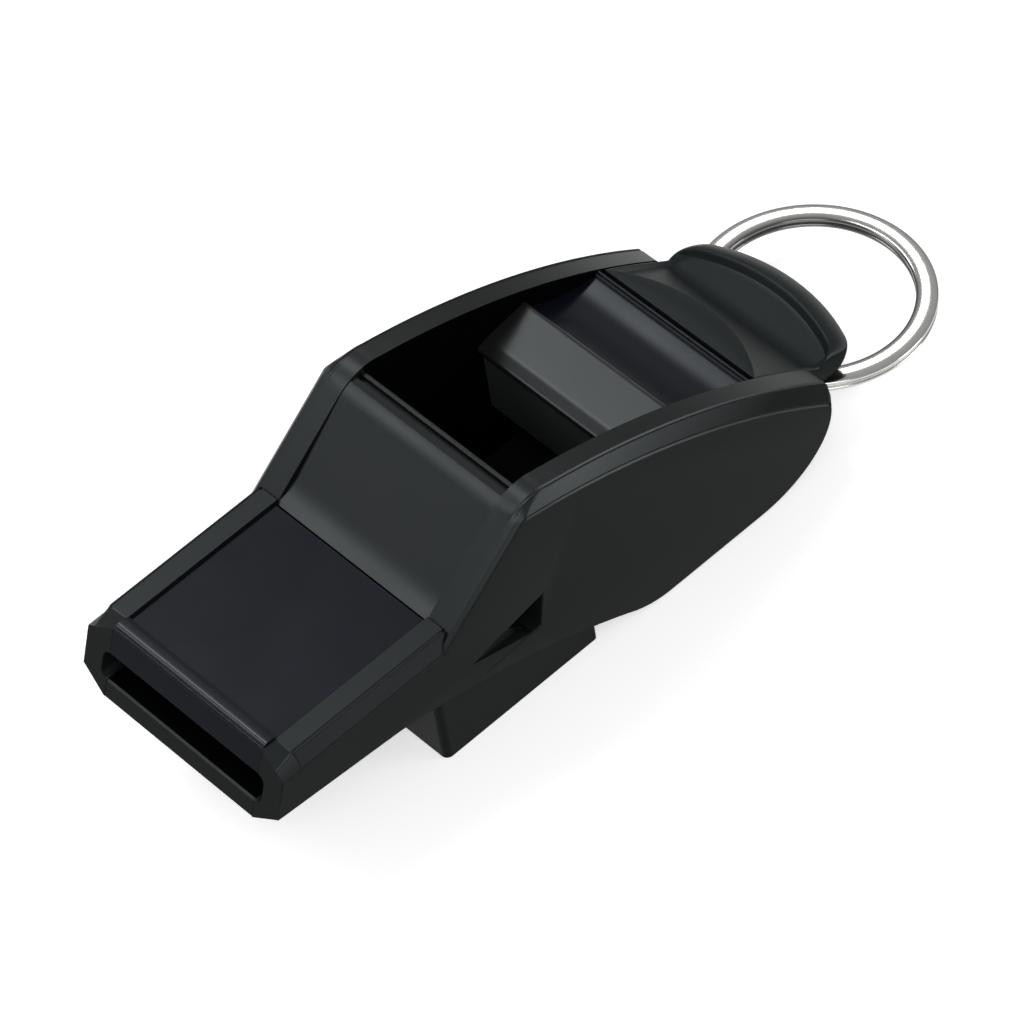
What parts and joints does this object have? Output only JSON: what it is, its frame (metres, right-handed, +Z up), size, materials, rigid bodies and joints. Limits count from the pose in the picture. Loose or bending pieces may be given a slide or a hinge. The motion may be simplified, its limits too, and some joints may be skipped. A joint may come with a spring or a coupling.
{
  "type": "sports whistle",
  "caption": "Pealess sports whistle with a flat blowing slot, a sloping ramp, an open sound window with labium and deck, side ports, a finger fin below and a swinging split ring in the tail",
  "frame": {"origin": "middle of the length and width, at the height of the table that the fin and the belly stand on", "axes": "+X from the mouth to the split ring, +Y to the left side of someone who blows it, +Z up"},
  "size_m": [0.0726, 0.021, 0.0206],
  "materials": {
    "body": "satin black moulded plastic",
    "panel": "glossy blue-black moulded plastic",
    "labium": "satin black moulded plastic",
    "tail": "matte black moulded plastic",
    "ring": "bright nickel-plated spring steel"
  },
  "bodies": {
    "whistle": {"left_side_shell": "body", "right_side_shell": "body", "mouthpiece_roof": "panel", "windway_floor": "body", "ramp_cover": "body", "labium_wedge": "labium", "chamber_partition": "body", "rear_deck_panel": "panel", "belly_shell": "body", "tail_cap": "tail", "finger_fin": "body"},
    "ring": {"split_ring": "ring"}
  },
  "joints": [
    {"name": "ring_swing", "type": "hinge", "parent": "whistle", "child": "ring", "pos_m": [0.01805, 0, 0.00377], "axis": [0, 1, 0], "range_deg": [-13, 35]}
  ]
}
